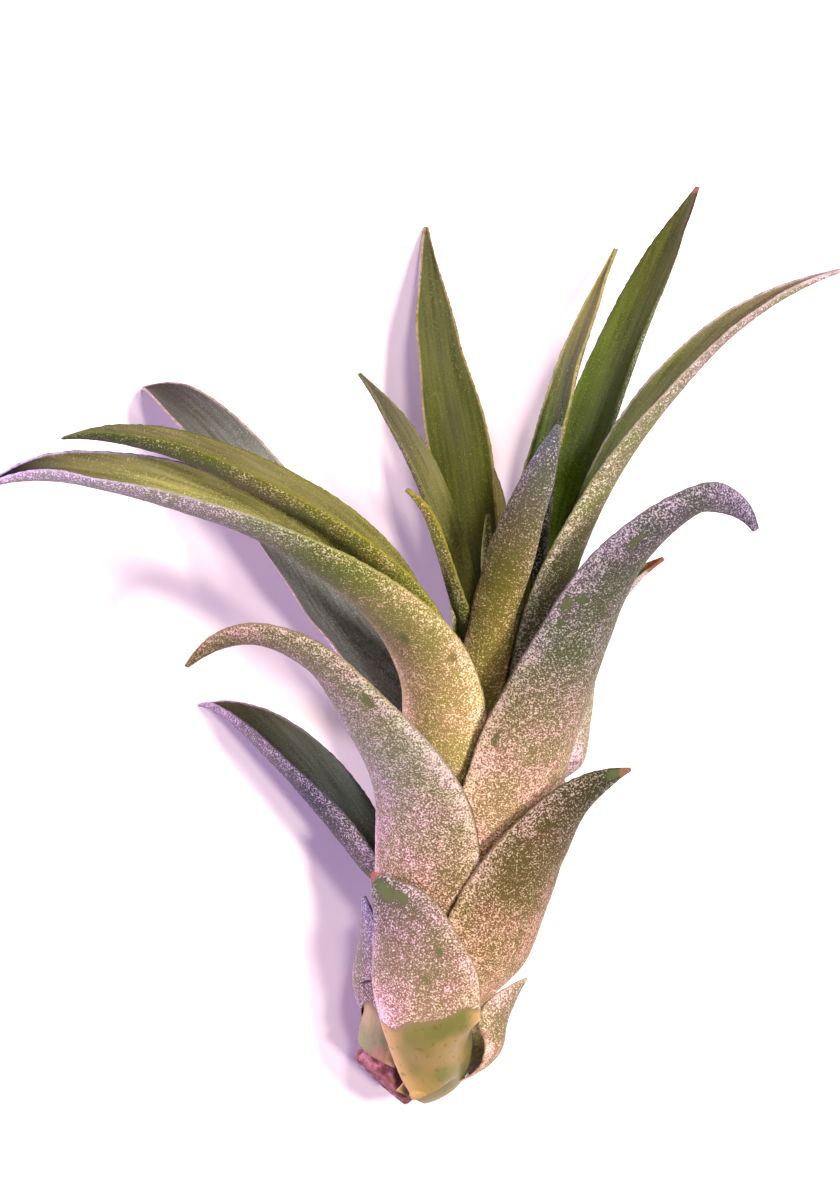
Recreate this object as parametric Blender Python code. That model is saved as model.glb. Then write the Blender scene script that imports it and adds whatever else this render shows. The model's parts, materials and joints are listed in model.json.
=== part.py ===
"""Air plant lying on its side: a short stem, cut off at its foot, and the leaves around it.

Each leaf is one solid. Its foot is a sheath that hugs the stem, and its blade is a tapering,
channelled strip that leaves along a curve of its own. The oldest leaves sit lowest and
outermost, and each younger leaf starts higher up, inside the sheaths of the older ones.

The tables are in millimetres: X to the right, Y along the stem towards the leaf tips, Z up
from the surface that the plant lies on. The leaf table is measured from a point near the
plant's middle, and ORIGIN moves it so that the model's origin is the middle of its footprint.
"""

import math
from collections import namedtuple

import bpy
import numpy as np

MM = 0.001
ORIGIN = np.array([-1.02, -7.14, 0.69])

# The stem: a line that rises slightly, and bends to the left near its cut foot.
STEM_BASE = np.array([-0.15, -71.6, 12.0])
STEM_DIRECTION = np.array([0.181, 0.976, 0.119])
STEM_FOOT = -2.4
STEM_TOP = 64.0
BEND_TOP = 12.0
BEND_REACH = 5.15
STEM_HEIGHTS = (STEM_FOOT, 0.0, 4.0, 9.0, 16.0, 40.0, 58.0, STEM_TOP)
STEM_RADII = (5.8, 5.5, 5.1, 4.2, 3.6, 3.2, 1.8, 0.9)
STEM_SIDES = 12
STEM_RINGS = 16

# What every leaf shares.
ROOT_GAP = 0.4
SHEATH_THICKNESS = 0.7
BLADE_THICKNESS = 1.1
MARGIN_THICKNESS = 0.34
TIP_THICKNESS = 0.48
TIP_WIDTH = 0.7
CELLS_ACROSS = 6
FEWEST_STATIONS = 9
MOST_STATIONS = 15
STATION_SPACING = 7.0
ROLL_REACH = 0.75
CURVE_SAMPLES = 400

TINTS = {
    "silver": (0.42, 0.38, 0.30),
    "olive": (0.20, 0.19, 0.08),
    "green": (0.12, 0.14, 0.04),
    "gold": (0.44, 0.36, 0.15),
    "bark": (0.27, 0.11, 0.11),
}

# name; height of the foot along the stem; turn round the stem in degrees (0 faces up, 90 to
# the right, 180 down); length and end radius of the sheath; half of the angle that the sheath
# wraps; half of the channel's angle along the blade; roll of the blade about its midrib;
# tint; midrib of the blade as (x, y, z, width); extra distance of the foot from the stem.
Leaf = namedtuple(
    "Leaf", "name height turn rise radius wrap channel roll tint blade spread", defaults=(0.0,)
)

LEAVES = [
    Leaf("basal_front_leaf", -3.5, 51, 5.5, 10.3, 46, 33, -33, "silver", [
        (2.2, -65.5, 26.1, 15), (-0.3, -56.5, 28.9, 18), (-2.8, -47.5, 29.4, 13),
        (-5.8, -42.4, 28, 5), (-7.1, -40.4, 26.8, TIP_WIDTH),
    ], spread=1.7),
    Leaf("basal_right_leaf", 0.5, 95, 4.5, 12.7, 43, 64, -25, "silver", [
        (13.1, -63.9, 11.6, 15), (16.2, -57.8, 12.6, TIP_WIDTH),
    ], spread=4.7),
    Leaf("basal_left_leaf", 2.6, -68, 6.5, 9.8, 48, 38, 0, "silver", [
        (-9.4, -58.5, 14.8, 14), (-8.6, -51, 15, 10), (-8.6, -45, 15, TIP_WIDTH),
    ], spread=1.5),
    Leaf("lower_right_leaf", 8, 39, 12, 12.6, 50, 45, 0, "silver", [
        (14.6, -46, 26, 20), (18.2, -38, 28.4, 16), (23.5, -30, 29.5, 9), (31, -25, 27, TIP_WIDTH),
    ]),
    Leaf("under_leaf_low", 7, 178, 14, 10.4, 50, 45, 0, "silver", [
        (5, -44, 2.5, 13), (4, -30, 1, TIP_WIDTH),
    ]),
    Leaf("front_curled_leaf", 11, -20, 13, 11.4, 50, 60, -42, "silver", [
        (-2.5, -31, 31, 20.5), (-9.3, -18.5, 38.5, 19), (-16, -9.3, 43.5, 14.5), (-23.5, -6, 43, 8.5),
        (-33.5, -9.5, 36, TIP_WIDTH),
    ]),
    Leaf("low_left_leaf", 15, -98, 10, 9.8, 46, 70, -18, "olive", [
        (-9, -40, 12.5, 16.5), (-14, -33.5, 11.5, 18), (-20.5, -26, 9.5, 15.5), (-27, -20, 7, 11),
        (-31, -17.5, 4, 6), (-34.5, -16.5, 1, TIP_WIDTH),
    ]),
    Leaf("under_leaf_right", 18, 115, 14, 10.5, 50, 45, 0, "silver", [
        (19.5, -34.5, 6.5, 12), (22.5, -28.5, 1, TIP_WIDTH),
    ]),
    Leaf("under_leaf_middle", 21, -170, 14, 10, 50, 45, 0, "silver", [
        (3, -27.5, 3, 13), (-1.5, -20.5, 1, TIP_WIDTH),
    ]),
    Leaf("big_silver_leaf", 25, 40, 18, 12.6, 52, 60, 0, "silver", [
        (19, -21, 31, 22), (23.5, -8, 37, 16.5), (28.5, 3, 43, 12.4), (34.2, 9.6, 47, 9),
        (40.5, 13.6, 46, 6), (45.2, 13, 41, 3.6), (48, 10, 37, TIP_WIDTH),
    ]),
    Leaf("tucked_right_leaf", 29, 97, 16, 10.2, 46, 62, 0, "silver", [
        (24.2, -25, 10.5, 15), (25.6, -17, 14, 13.5), (26.2, -10, 19, 10.5), (28.8, -1, 26, 7),
        (35.5, 6, 31, TIP_WIDTH),
    ]),
    Leaf("long_left_leaf", 33, -38, 15, 11.4, 50, 80, -57, "gold", [
        (-1, -11.5, 31, 20), (-8, -1.5, 38, 18.5), (-22.5, 9, 43, 15.5), (-32.5, 13, 43, 14),
        (-43, 16, 42, 11.5), (-53.5, 17.5, 40, 8), (-63, 16, 37, TIP_WIDTH),
    ]),
    Leaf("back_left_leaf", 37, -130, 14, 9.2, 52, 50, -20, "olive", [
        (-11.5, -5.5, 12, 15), (-20.5, 9, 15, 14), (-29.8, 22.6, 15, 10.8), (-38, 30.6, 9, 7.6),
        (-43.5, 33, 1, TIP_WIDTH),
    ]),
    Leaf("under_leaf_high", 40, 152, 13, 7.8, 40, 45, 0, "silver", [
        (19.5, -8, 5.5, 13), (24, -1.5, 3, 9), (28.5, 2, 1, TIP_WIDTH),
    ]),
    Leaf("long_right_leaf", 43, 58, 13, 9.8, 48, 72, 55, "olive", [
        (21, 0, 30.5, 13.5), (27, 15.5, 34, 12), (35, 28, 37, 10), (46, 39.5, 38, 6.5),
        (61, 47.5, 37, TIP_WIDTH),
    ]),
    Leaf("nested_left_leaf", 45, -70, 12, 8.6, 48, 75, -5, "olive", [
        (-1.5, -2, 32, 12.5), (-9.5, 7, 42, 13), (-20.5, 14, 45.5, 12.5), (-33.5, 20, 45.5, 10),
        (-43.5, 22.5, 44.5, 6.5), (-50.5, 23, 42, TIP_WIDTH),
    ]),
    Leaf("under_leaf_inner", 46, 178, 11, 8.8, 42, 40, 0, "silver", [
        (10, 6, 7.5, 9), (10, 15.5, 7, 6.5), (8, 26.5, 3, TIP_WIDTH),
    ]),
    Leaf("tall_right_leaf", 47, 127, 12, 7.1, 46, 55, 0, "green", [
        (22, 6, 16, 11), (26.5, 24, 21, 12.5), (31.5, 38, 22, 11), (36.5, 50, 20, 8),
        (42, 62.5, 16, TIP_WIDTH),
    ]),
    Leaf("tall_centre_leaf", 49, -168, 11, 5.7, 42, 45, 0, "green", [
        (8, 4.5, 9, 9.5), (5.5, 23, 13, 11), (3, 37, 11, 8), (1.5, 49, 7, 4.5),
        (1, 58.5, 1, TIP_WIDTH),
    ]),
    Leaf("blunt_inner_leaf", 51, -5, 10, 7.2, 46, 60, 0, "olive", [
        (11, -3, 31, 9), (13.5, 8, 38, 7.5), (16, 15.5, 43, 6), (19.5, 24.5, 46, TIP_WIDTH),
    ]),
    Leaf("thin_inner_leaf", 52.5, 90, 9, 6.3, 38, 50, 0, "green", [
        (18, 6, 27, 6), (19.5, 17.5, 28, 5), (21, 29, 28, TIP_WIDTH),
    ]),
    Leaf("narrow_left_leaf", 54, -118, 9, 5.6, 46, 60, 0, "olive", [
        (4.5, 5, 20, 8), (0.5, 17, 25, 7.5), (-3.5, 25, 26, 5.5), (-9, 33.5, 25, TIP_WIDTH),
    ]),
    Leaf("narrow_right_leaf", 55.5, 152, 9, 4.7, 38, 60, -25, "green", [
        (17, 10.5, 15.5, 7.5), (20.5, 25.5, 22.5, 7), (23.5, 37, 25, 5), (29, 52, 25, TIP_WIDTH),
    ]),
    Leaf("pale_inner_leaf", 57, -66, 8, 4.8, 44, 50, 0, "silver", [
        (5, 0, 27, 5.5), (2.5, 8, 30.5, 4.5), (0.5, 13, 32, 3), (-2, 16, 32, TIP_WIDTH),
    ]),
    Leaf("heart_leaf", 58.5, 45, 7, 4, 42, 45, 0, "green", [
        (11, 3, 24, 4), (10, 12.5, 27, TIP_WIDTH),
    ]),
]


def unit(vector):
    return vector / np.linalg.norm(vector)


STEM_AXIS = unit(STEM_DIRECTION)
STEM_UP = unit(np.array([0.0, 0.0, 1.0]) - STEM_AXIS[2] * STEM_AXIS)
STEM_RIGHT = np.cross(STEM_AXIS, STEM_UP)


def stem_centre(height):
    """The middle of the stem at a height, with its bend to the left near the foot."""
    bend = max(0.0, BEND_TOP - height) / (BEND_TOP - STEM_FOOT)
    return STEM_BASE + height * STEM_AXIS - STEM_RIGHT * BEND_REACH * bend**2


def outward(turn):
    """The direction away from the stem at a turn in degrees."""
    angle = math.radians(turn)
    return math.cos(angle) * STEM_UP + math.sin(angle) * STEM_RIGHT


def smooth_values(knots, values, at):
    """A cubic through the values that never overshoots them (Fritsch and Carlson)."""
    knots = np.asarray(knots, float)
    values = np.asarray(values, float)
    gaps = np.diff(knots)
    slopes = np.diff(values) / gaps
    tangents = np.zeros_like(values)
    tangents[0] = slopes[0]
    tangents[-1] = slopes[-1]
    for i in range(1, len(values) - 1):
        before, after = slopes[i - 1], slopes[i]
        if before * after > 0:
            tangents[i] = 2 * before * after / (before + after)
    i = np.clip(np.searchsorted(knots, at, side="right") - 1, 0, len(gaps) - 1)
    t = np.clip((at - knots[i]) / gaps[i], 0, 1)
    start = (2 * t**3 - 3 * t**2 + 1) * values[i] + (t**3 - 2 * t**2 + t) * gaps[i] * tangents[i]
    end = (3 * t**2 - 2 * t**3) * values[i + 1] + (t**3 - t**2) * gaps[i] * tangents[i + 1]
    return start + end


def smooth_curve(points):
    """A dense smooth curve through the points, its running length, and each point's length."""
    points = np.asarray(points, float)
    steps = np.linalg.norm(np.diff(points, axis=0), axis=1) ** 0.5
    knots = np.concatenate([[0.0], np.cumsum(steps)])
    slopes = np.diff(points, axis=0) / steps[:, None]
    tangents = np.empty_like(points)
    tangents[0] = slopes[0]
    tangents[-1] = slopes[-1]
    for i in range(1, len(points) - 1):
        before, after = steps[i - 1], steps[i]
        tangents[i] = (slopes[i - 1] * after + slopes[i] * before) / (before + after)
    tangents[-1] = 2 * slopes[-1] - tangents[-2]
    at = np.linspace(0, knots[-1], CURVE_SAMPLES)
    i = np.clip(np.searchsorted(knots, at, side="right") - 1, 0, len(steps) - 1)
    gap = steps[i][:, None]
    t = ((at - knots[i]) / steps[i])[:, None]
    curve = (2 * t**3 - 3 * t**2 + 1) * points[i] + (t**3 - 2 * t**2 + t) * gap * tangents[i]
    curve += (3 * t**2 - 2 * t**3) * points[i + 1] + (t**3 - t**2) * gap * tangents[i + 1]
    lengths = np.linalg.norm(np.diff(curve, axis=0), axis=1)
    lengths = np.concatenate([[0.0], np.cumsum(lengths)])
    return curve, lengths, np.interp(knots, at, lengths)


def eased(value):
    """0 to 1 with a soft start and a soft end."""
    value = np.clip(value, 0, 1)
    return value * value * (3 - 2 * value)


def facing(curve, lengths, sheath_end, blade_start, turn, roll):
    """Tangent and inward direction along a leaf: it faces the stem, then rolls with the blade."""
    tangents = np.gradient(curve, axis=0)
    tangents /= np.linalg.norm(tangents, axis=1)[:, None]
    inward = -outward(turn)
    carried = np.zeros_like(curve)
    direction = inward
    for i, tangent in enumerate(tangents):
        direction = unit(direction - (direction @ tangent) * tangent)
        carried[i] = direction
    along = (lengths - sheath_end) / (lengths[-1] - sheath_end)
    angle = math.radians(roll) * eased(along / ROLL_REACH)[:, None]
    rolled = carried * np.cos(angle) + np.cross(tangents, carried) * np.sin(angle)
    freed = eased((lengths - sheath_end) / (blade_start - sheath_end))[:, None]
    faced = rolled * freed + inward * (1 - freed)
    return tangents, faced / np.linalg.norm(faced, axis=1)[:, None]


def leaf_surfaces(leaf):
    """Two grids of points, one on each face of the leaf, from foot to tip and edge to edge."""
    foot_radius = np.interp(leaf.height, STEM_HEIGHTS, STEM_RADII)
    foot_radius += ROOT_GAP + SHEATH_THICKNESS / 2 + leaf.spread
    away = outward(leaf.turn)
    foot = stem_centre(leaf.height) + away * foot_radius
    sheath_top = stem_centre(leaf.height + leaf.rise) + away * leaf.radius
    wrap = math.radians(leaf.wrap)
    points = [foot, sheath_top] + [np.array(point[:3]) for point in leaf.blade]
    widths = [2 * wrap * foot_radius, 2 * wrap * leaf.radius] + [point[3] for point in leaf.blade]
    angles = [wrap, wrap] + [math.radians(leaf.channel)] * len(leaf.blade)

    curve, lengths, knots = smooth_curve(points)
    total = lengths[-1]
    tangents, inward = facing(curve, lengths, knots[1], knots[2], leaf.turn, leaf.roll)
    from_base = curve - STEM_BASE
    from_axis = np.linalg.norm(from_base - np.outer(from_base @ STEM_AXIS, STEM_AXIS), axis=1)
    half_angle = smooth_values(knots, angles, lengths)
    width = smooth_values(knots, widths, lengths)
    width = np.where(lengths <= knots[1], 2 * half_angle * from_axis, width)

    count = int(np.clip(round(total / STATION_SPACING) + 3, FEWEST_STATIONS, MOST_STATIONS))
    at = np.linspace(0, total, count)
    thick_knots = [0, knots[1] / total, min(knots[2] / total, 0.9), 1]
    thick_values = [SHEATH_THICKNESS, SHEATH_THICKNESS, BLADE_THICKNESS, TIP_THICKNESS]
    thickness = smooth_values(thick_knots, thick_values, at / total)

    def sampled(values):
        return np.stack([np.interp(at, lengths, values[:, axis]) for axis in range(3)], axis=1)

    middle = sampled(curve)[:, None]
    inside = sampled(inward)
    side = np.cross(sampled(tangents), inside)
    side /= np.linalg.norm(side, axis=1)[:, None]
    inside, side = inside[:, None], side[:, None]
    half = np.interp(at, lengths, half_angle)
    bend_radius = (np.interp(at, lengths, width) / 2 / half)[:, None, None]
    across = np.linspace(-1, 1, CELLS_ACROSS + 1)
    angle = (half[:, None] * across)[..., None]
    sheet = middle + bend_radius * (np.sin(angle) * side + (1 - np.cos(angle)) * inside)
    normal = np.cos(angle) * inside - np.sin(angle) * side
    margin = np.minimum(MARGIN_THICKNESS, thickness)[:, None]
    depth = margin + (thickness[:, None] - margin) * (1 - across**2)
    offset = normal * depth[..., None] / 2
    return sheet + offset, sheet - offset


def outward_faces(points, faces):
    """The faces, turned round together if they face into the solid."""
    corners = points[np.array(faces)]
    volume = np.einsum("ij,ij->i", corners[:, 0], np.cross(corners[:, 1], corners[:, 2])).sum()
    return faces if volume > 0 else [face[::-1] for face in faces]


def tube_faces(rings, sides):
    """Triangles round a tube of rings, each ring with the same number of points."""
    faces = []
    for ring in range(rings - 1):
        for side in range(sides):
            a = ring * sides + side
            b = ring * sides + (side + 1) % sides
            faces += [(a, b, b + sides), (a, b + sides, a + sides)]
    return faces


def leaf_mesh(leaf):
    """The closed solid between a leaf's two faces."""
    upper, lower = leaf_surfaces(leaf)
    points = np.concatenate([upper, lower[:, ::-1]], axis=1)
    rings, sides = points.shape[:2]
    faces = tube_faces(rings, sides)
    last = (rings - 1) * sides
    for cell in range(CELLS_ACROSS):
        a, b, c, d = cell, cell + 1, sides - 2 - cell, sides - 1 - cell
        faces += [(c, b, a), (d, c, a)]
        faces += [(last + a, last + b, last + c), (last + a, last + c, last + d)]
    return points.reshape(-1, 3), faces


def stem_mesh():
    """A closed tube along the stem, with its foot cut square to the bend."""
    curve, lengths, knots = smooth_curve([stem_centre(height) for height in STEM_HEIGHTS])
    at = np.linspace(0, lengths[-1], STEM_RINGS)
    centres = np.stack([np.interp(at, lengths, curve[:, axis]) for axis in range(3)], axis=1)
    radii = smooth_values(knots, STEM_RADII, at)
    turns = np.linspace(0, 2 * math.pi, STEM_SIDES, endpoint=False)[:, None]
    up = STEM_UP
    rings = []
    for centre, radius, tangent in zip(centres, radii, np.gradient(centres, axis=0)):
        tangent = unit(tangent)
        up = unit(up - (up @ tangent) * tangent)
        right = np.cross(tangent, up)
        rings.append(centre + radius * (np.cos(turns) * up + np.sin(turns) * right))
    faces = tube_faces(STEM_RINGS, STEM_SIDES)
    last = (STEM_RINGS - 1) * STEM_SIDES
    for side in range(1, STEM_SIDES - 1):
        faces += [(0, side + 1, side), (last, last + side, last + side + 1)]
    return np.concatenate(rings), faces


def tinted(name, tint, roughness):
    """A plain material for one piece."""
    material = bpy.data.materials.new(name)
    material.use_nodes = True
    shader = material.node_tree.nodes["Principled BSDF"]
    shader.inputs["Base Color"].default_value = (*TINTS[tint], 1.0)
    shader.inputs["Roughness"].default_value = roughness
    shader.inputs["Metallic"].default_value = 0.0
    return material


def add_piece(name, points, faces, tint, roughness):
    """One named object from points in millimetres."""
    faces = outward_faces(points, faces)
    mesh = bpy.data.meshes.new(name)
    mesh.from_pydata(((points - ORIGIN) * MM).tolist(), [], faces)
    mesh.materials.append(tinted(name, tint, roughness))
    mesh.shade_smooth()
    piece = bpy.data.objects.new(name, mesh)
    bpy.context.scene.collection.objects.link(piece)
    return piece


def main():
    for old in list(bpy.data.objects):
        bpy.data.objects.remove(old, do_unlink=True)
    add_piece("stem", *stem_mesh(), tint="bark", roughness=0.8)
    for leaf in LEAVES:
        add_piece(leaf.name, *leaf_mesh(leaf), tint=leaf.tint, roughness=0.6)


main()
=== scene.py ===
# %% [markdown]
# # An air plant lying on a table
#
# This air plant has been cut from its clump and laid on its side, so its short stem shows its
# cut foot, and twenty-five leaves leave the stem one above another. The imported CAD model already
# holds each leaf as a plain closed solid in its true place. This lesson gives every leaf its real
# skin: thin channelled blades with fuzzy margins, covered outside with tiny silvery scales and
# smooth and green inside. The frame is loaded first, because all the new pieces are built
# around it.

import json
import math
import zlib
from collections import namedtuple

import bpy
import numpy as np
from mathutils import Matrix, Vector

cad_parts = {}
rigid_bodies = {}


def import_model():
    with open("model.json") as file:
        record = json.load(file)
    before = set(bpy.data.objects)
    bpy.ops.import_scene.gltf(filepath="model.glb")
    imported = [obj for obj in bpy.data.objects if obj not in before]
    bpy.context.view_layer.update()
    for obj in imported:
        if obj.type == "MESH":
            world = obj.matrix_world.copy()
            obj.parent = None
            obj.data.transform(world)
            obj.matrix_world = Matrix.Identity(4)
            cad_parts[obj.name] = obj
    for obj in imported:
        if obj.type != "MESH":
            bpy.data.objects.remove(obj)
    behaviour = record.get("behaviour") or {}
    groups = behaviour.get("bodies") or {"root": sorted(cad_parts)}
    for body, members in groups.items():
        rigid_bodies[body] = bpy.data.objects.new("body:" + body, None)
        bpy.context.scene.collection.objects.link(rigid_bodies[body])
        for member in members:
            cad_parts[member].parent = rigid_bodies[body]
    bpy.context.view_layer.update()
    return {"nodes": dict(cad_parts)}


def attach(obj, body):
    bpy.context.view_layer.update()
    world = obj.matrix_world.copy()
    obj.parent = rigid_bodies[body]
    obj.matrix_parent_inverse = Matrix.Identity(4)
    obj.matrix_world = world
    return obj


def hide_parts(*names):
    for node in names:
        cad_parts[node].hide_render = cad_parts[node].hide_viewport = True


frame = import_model()
print("CAD nodes:", len(frame["nodes"]))

# %% [markdown]
# ## The numbers that place the leaves
#
# On the real plant each leaf starts with a sheath that hugs the stem, then bends away as a
# tapering blade. A leaf could be sculpted by hand, or grown from a few numbers. Numbers are the
# better way here, because the CAD solids came from the same ones: a foot height on the stem, a
# turn round it, and a midrib curve with a width at each point. Working from them again, with
# much finer steps, puts every skin exactly where its solid is.

# %% The stem line and the leaf table, in millimetres
MM = 0.001
ORIGIN = np.array([-1.02, -7.14, 0.69])

STEM_BASE = np.array([-0.15, -71.6, 12.0])
STEM_DIRECTION = np.array([0.181, 0.976, 0.119])
STEM_FOOT = -2.4
STEM_TOP = 64.0
BEND_TOP = 12.0
BEND_REACH = 5.15
STEM_HEIGHTS = (STEM_FOOT, 0.0, 4.0, 9.0, 16.0, 40.0, 58.0, STEM_TOP)
STEM_RADII = (5.8, 5.5, 5.1, 4.2, 3.6, 3.2, 1.8, 0.9)

ROOT_GAP = 0.4
SHEATH_THICKNESS = 0.7
BLADE_THICKNESS = 1.1
MARGIN_THICKNESS = 0.34
TIP_THICKNESS = 0.48
TIP_WIDTH = 0.7
ROLL_REACH = 0.75
CURVE_SAMPLES = 900

# name; height of the foot along the stem; turn round the stem in degrees (0 faces up, 90 to
# the right, 180 down); length and end radius of the sheath; half of the angle that the sheath
# wraps; half of the channel's angle along the blade; roll of the blade about its midrib;
# tint; midrib of the blade as (x, y, z, width); extra distance of the foot from the stem.
Leaf = namedtuple(
    "Leaf", "name height turn rise radius wrap channel roll tint blade spread", defaults=(0.0,)
)

LEAVES = [
    Leaf("basal_front_leaf", -3.5, 51, 5.5, 10.3, 46, 33, -33, "silver", [
        (2.2, -65.5, 26.1, 15), (-0.3, -56.5, 28.9, 18), (-2.8, -47.5, 29.4, 13),
        (-5.8, -42.4, 28, 5), (-7.1, -40.4, 26.8, TIP_WIDTH),
    ], spread=1.7),
    Leaf("basal_right_leaf", 0.5, 95, 4.5, 12.7, 43, 64, -25, "silver", [
        (13.1, -63.9, 11.6, 15), (16.2, -57.8, 12.6, TIP_WIDTH),
    ], spread=4.7),
    Leaf("basal_left_leaf", 2.6, -68, 6.5, 9.8, 48, 38, 0, "silver", [
        (-9.4, -58.5, 14.8, 14), (-8.6, -51, 15, 10), (-8.6, -45, 15, TIP_WIDTH),
    ], spread=1.5),
    Leaf("lower_right_leaf", 8, 39, 12, 12.6, 50, 45, 0, "silver", [
        (14.6, -46, 26, 20), (18.2, -38, 28.4, 16), (23.5, -30, 29.5, 9), (31, -25, 27, TIP_WIDTH),
    ]),
    Leaf("under_leaf_low", 7, 178, 14, 10.4, 50, 45, 0, "silver", [
        (5, -44, 2.5, 13), (4, -30, 1, TIP_WIDTH),
    ]),
    Leaf("front_curled_leaf", 11, -20, 13, 11.4, 50, 60, -42, "silver", [
        (-2.5, -31, 31, 20.5), (-9.3, -18.5, 38.5, 19), (-16, -9.3, 43.5, 14.5), (-23.5, -6, 43, 8.5),
        (-33.5, -9.5, 36, TIP_WIDTH),
    ]),
    Leaf("low_left_leaf", 15, -98, 10, 9.8, 46, 70, -18, "olive", [
        (-9, -40, 12.5, 16.5), (-14, -33.5, 11.5, 18), (-20.5, -26, 9.5, 15.5), (-27, -20, 7, 11),
        (-31, -17.5, 4, 6), (-34.5, -16.5, 1, TIP_WIDTH),
    ]),
    Leaf("under_leaf_right", 18, 115, 14, 10.5, 50, 45, 0, "silver", [
        (19.5, -34.5, 6.5, 12), (22.5, -28.5, 1, TIP_WIDTH),
    ]),
    Leaf("under_leaf_middle", 21, -170, 14, 10, 50, 45, 0, "silver", [
        (3, -27.5, 3, 13), (-1.5, -20.5, 1, TIP_WIDTH),
    ]),
    Leaf("big_silver_leaf", 25, 40, 18, 12.6, 52, 60, 0, "silver", [
        (19, -21, 31, 22), (23.5, -8, 37, 16.5), (28.5, 3, 43, 12.4), (34.2, 9.6, 47, 9),
        (40.5, 13.6, 46, 6), (45.2, 13, 41, 3.6), (48, 10, 37, TIP_WIDTH),
    ]),
    Leaf("tucked_right_leaf", 29, 97, 16, 10.2, 46, 62, 0, "silver", [
        (24.2, -25, 10.5, 15), (25.6, -17, 14, 13.5), (26.2, -10, 19, 10.5), (28.8, -1, 26, 7),
        (35.5, 6, 31, TIP_WIDTH),
    ]),
    Leaf("long_left_leaf", 33, -38, 15, 11.4, 50, 80, -57, "gold", [
        (-1, -11.5, 31, 20), (-8, -1.5, 38, 18.5), (-22.5, 9, 43, 15.5), (-32.5, 13, 43, 14),
        (-43, 16, 42, 11.5), (-53.5, 17.5, 40, 8), (-63, 16, 37, TIP_WIDTH),
    ]),
    Leaf("back_left_leaf", 37, -130, 14, 9.2, 52, 50, -20, "olive", [
        (-11.5, -5.5, 12, 15), (-20.5, 9, 15, 14), (-29.8, 22.6, 15, 10.8), (-38, 30.6, 9, 7.6),
        (-43.5, 33, 1, TIP_WIDTH),
    ]),
    Leaf("under_leaf_high", 40, 152, 13, 7.8, 40, 45, 0, "silver", [
        (19.5, -8, 5.5, 13), (24, -1.5, 3, 9), (28.5, 2, 1, TIP_WIDTH),
    ]),
    Leaf("long_right_leaf", 43, 58, 13, 9.8, 48, 72, 55, "olive", [
        (21, 0, 30.5, 13.5), (27, 15.5, 34, 12), (35, 28, 37, 10), (46, 39.5, 38, 6.5),
        (61, 47.5, 37, TIP_WIDTH),
    ]),
    Leaf("nested_left_leaf", 45, -70, 12, 8.6, 48, 75, -5, "olive", [
        (-1.5, -2, 32, 12.5), (-9.5, 7, 42, 13), (-20.5, 14, 45.5, 12.5), (-33.5, 20, 45.5, 10),
        (-43.5, 22.5, 44.5, 6.5), (-50.5, 23, 42, TIP_WIDTH),
    ]),
    Leaf("under_leaf_inner", 46, 178, 11, 8.8, 42, 40, 0, "silver", [
        (10, 6, 7.5, 9), (10, 15.5, 7, 6.5), (8, 26.5, 3, TIP_WIDTH),
    ]),
    Leaf("tall_right_leaf", 47, 127, 12, 7.1, 46, 55, 0, "green", [
        (22, 6, 16, 11), (26.5, 24, 21, 12.5), (31.5, 38, 22, 11), (36.5, 50, 20, 8),
        (42, 62.5, 16, TIP_WIDTH),
    ]),
    Leaf("tall_centre_leaf", 49, -168, 11, 5.7, 42, 45, 0, "green", [
        (8, 4.5, 9, 9.5), (5.5, 23, 13, 11), (3, 37, 11, 8), (1.5, 49, 7, 4.5),
        (1, 58.5, 1, TIP_WIDTH),
    ]),
    Leaf("blunt_inner_leaf", 51, -5, 10, 7.2, 46, 60, 0, "olive", [
        (11, -3, 31, 9), (13.5, 8, 38, 7.5), (16, 15.5, 43, 6), (19.5, 24.5, 46, TIP_WIDTH),
    ]),
    Leaf("thin_inner_leaf", 52.5, 90, 9, 6.3, 38, 50, 0, "green", [
        (18, 6, 27, 6), (19.5, 17.5, 28, 5), (21, 29, 28, TIP_WIDTH),
    ]),
    Leaf("narrow_left_leaf", 54, -118, 9, 5.6, 46, 60, 0, "olive", [
        (4.5, 5, 20, 8), (0.5, 17, 25, 7.5), (-3.5, 25, 26, 5.5), (-9, 33.5, 25, TIP_WIDTH),
    ]),
    Leaf("narrow_right_leaf", 55.5, 152, 9, 4.7, 38, 60, -25, "green", [
        (17, 10.5, 15.5, 7.5), (20.5, 25.5, 22.5, 7), (23.5, 37, 25, 5), (29, 52, 25, TIP_WIDTH),
    ]),
    Leaf("pale_inner_leaf", 57, -66, 8, 4.8, 44, 50, 0, "silver", [
        (5, 0, 27, 5.5), (2.5, 8, 30.5, 4.5), (0.5, 13, 32, 3), (-2, 16, 32, TIP_WIDTH),
    ]),
    Leaf("heart_leaf", 58.5, 45, 7, 4, 42, 45, 0, "green", [
        (11, 3, 24, 4), (10, 12.5, 27, TIP_WIDTH),
    ]),
]
print("leaves in the table:", len(LEAVES))

# %% [markdown]
# ## Curves and directions
#
# A leaf's midrib is one smooth line through a handful of points. A Blender curve object could
# draw it, but the leaf also needs its width, its thickness and the way it faces at every point,
# so plain arrays are simpler. The facing is carried along the midrib without twisting, as a
# strip of card would be, and then the blade rolls a little about its midrib, as real ones do.

# %% The stem line
def unit(vector):
    return vector / np.linalg.norm(vector)


STEM_AXIS = unit(STEM_DIRECTION)
STEM_UP = unit(np.array([0.0, 0.0, 1.0]) - STEM_AXIS[2] * STEM_AXIS)
STEM_RIGHT = np.cross(STEM_AXIS, STEM_UP)


def stem_centre(height):
    """The middle of the stem at a height, with its bend to the left near the foot."""
    bend = max(0.0, BEND_TOP - height) / (BEND_TOP - STEM_FOOT)
    return STEM_BASE + height * STEM_AXIS - STEM_RIGHT * BEND_REACH * bend**2


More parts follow.
